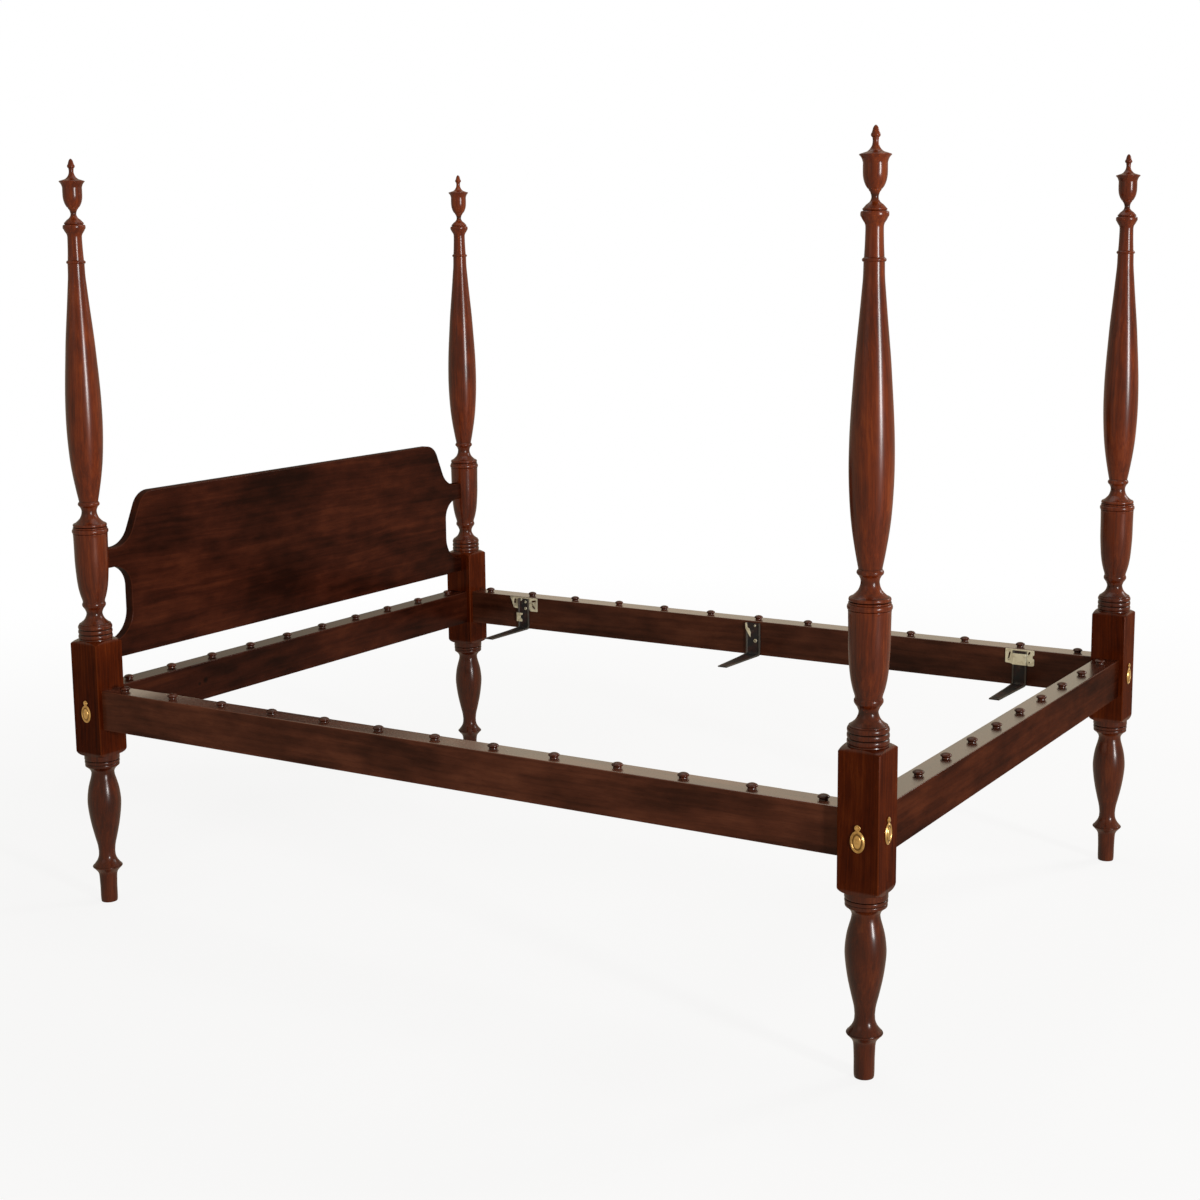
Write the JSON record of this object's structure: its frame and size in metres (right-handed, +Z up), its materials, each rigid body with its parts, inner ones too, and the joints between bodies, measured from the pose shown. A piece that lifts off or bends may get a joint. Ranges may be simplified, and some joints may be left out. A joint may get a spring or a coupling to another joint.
{
  "type": "four poster bed",
  "caption": "Four-poster bed frame with turned posts, urn finials, a notched headboard, rope knobs along the rails and brass bolt covers.",
  "frame": {"origin": "on the floor under the middle of the bed, between the four posts", "axes": "+X from the headboard to the foot, +Y to the left of someone lying in the bed, +Z up"},
  "size_m": [2.2236, 1.7016, 1.882],
  "materials": {
    "mahogany": "semi-gloss lacquer over red-brown stain",
    "dark_mahogany": "gloss lacquer over dark stain",
    "brass": "polished and lacquered",
    "black_iron": "black paint",
    "zinc": "dull zinc plate",
    "bolt_steel": "plain"
  },
  "bodies": {
    "bed": {"post_head_right": "mahogany", "post_head_left": "mahogany", "post_foot_right": "mahogany", "post_foot_left": "mahogany", "headboard": "mahogany", "side_rail_right": "mahogany", "side_rail_left": "mahogany", "head_rail": "mahogany", "foot_rail": "mahogany", "rope_knobs_right": "dark_mahogany", "rope_knobs_left": "dark_mahogany", "rope_knobs_head": "dark_mahogany", "rope_knobs_foot": "dark_mahogany", "bed_bolts_side": "bolt_steel", "bed_bolts_end": "bolt_steel", "bolt_washers": "bolt_steel", "bolt_nuts": "bolt_steel", "cover_pins": "brass", "hanger_iron_right_head": "black_iron", "hanger_iron_right_middle": "black_iron", "hanger_iron_right_foot": "black_iron", "hanger_plate_right_head": "zinc", "hanger_plate_right_foot": "zinc", "hanger_iron_left_head": "black_iron", "hanger_iron_left_middle": "black_iron", "hanger_iron_left_foot": "black_iron", "hanger_plate_left_head": "zinc", "hanger_plate_left_foot": "zinc"},
    "finial_head_right": {"finial_head_right": "mahogany"},
    "bolt_cover_head_right_end": {"bolt_cover_head_right_end": "brass"},
    "bolt_cover_head_right_side": {"bolt_cover_head_right_side": "brass"},
    "finial_head_left": {"finial_head_left": "mahogany"},
    "bolt_cover_head_left_end": {"bolt_cover_head_left_end": "brass"},
    "bolt_cover_head_left_side": {"bolt_cover_head_left_side": "brass"},
    "finial_foot_right": {"finial_foot_right": "mahogany"},
    "bolt_cover_foot_right_end": {"bolt_cover_foot_right_end": "brass"},
    "bolt_cover_foot_right_side": {"bolt_cover_foot_right_side": "brass"},
    "finial_foot_left": {"finial_foot_left": "mahogany"},
    "bolt_cover_foot_left_end": {"bolt_cover_foot_left_end": "brass"},
    "bolt_cover_foot_left_side": {"bolt_cover_foot_left_side": "brass"}
  },
  "joints": [
    {"name": "lift_finial_head_right", "type": "slide", "parent": "bed", "child": "finial_head_right", "axis": [0, 0, 1], "range_m": [0, 0.05]},
    {"name": "swing_cover_head_right_end", "type": "hinge", "parent": "bed", "child": "bolt_cover_head_right_end", "pos_m": [-1.106, -0.8, 0.544], "axis": [-1, 0, 0], "continuous": true},
    {"name": "swing_cover_head_right_side", "type": "hinge", "parent": "bed", "child": "bolt_cover_head_right_side", "pos_m": [-1.061, -0.845, 0.532], "axis": [0, -1, 0], "continuous": true},
    {"name": "lift_finial_head_left", "type": "slide", "parent": "bed", "child": "finial_head_left", "axis": [0, 0, 1], "range_m": [0, 0.05]},
    {"name": "swing_cover_head_left_end", "type": "hinge", "parent": "bed", "child": "bolt_cover_head_left_end", "pos_m": [-1.106, 0.8, 0.544], "axis": [-1, 0, 0], "continuous": true},
    {"name": "swing_cover_head_left_side", "type": "hinge", "parent": "bed", "child": "bolt_cover_head_left_side", "pos_m": [-1.061, 0.845, 0.532], "axis": [0, 1, 0], "continuous": true},
    {"name": "lift_finial_foot_right", "type": "slide", "parent": "bed", "child": "finial_foot_right", "axis": [0, 0, 1], "range_m": [0, 0.05]},
    {"name": "swing_cover_foot_right_end", "type": "hinge", "parent": "bed", "child": "bolt_cover_foot_right_end", "pos_m": [1.106, -0.8, 0.544], "axis": [1, 0, 0], "continuous": true},
    {"name": "swing_cover_foot_right_side", "type": "hinge", "parent": "bed", "child": "bolt_cover_foot_right_side", "pos_m": [1.061, -0.845, 0.532], "axis": [0, -1, 0], "continuous": true},
    {"name": "lift_finial_foot_left", "type": "slide", "parent": "bed", "child": "finial_foot_left", "axis": [0, 0, 1], "range_m": [0, 0.05]},
    {"name": "swing_cover_foot_left_end", "type": "hinge", "parent": "bed", "child": "bolt_cover_foot_left_end", "pos_m": [1.106, 0.8, 0.544], "axis": [1, 0, 0], "continuous": true},
    {"name": "swing_cover_foot_left_side", "type": "hinge", "parent": "bed", "child": "bolt_cover_foot_left_side", "pos_m": [1.061, 0.845, 0.532], "axis": [0, 1, 0], "continuous": true}
  ]
}
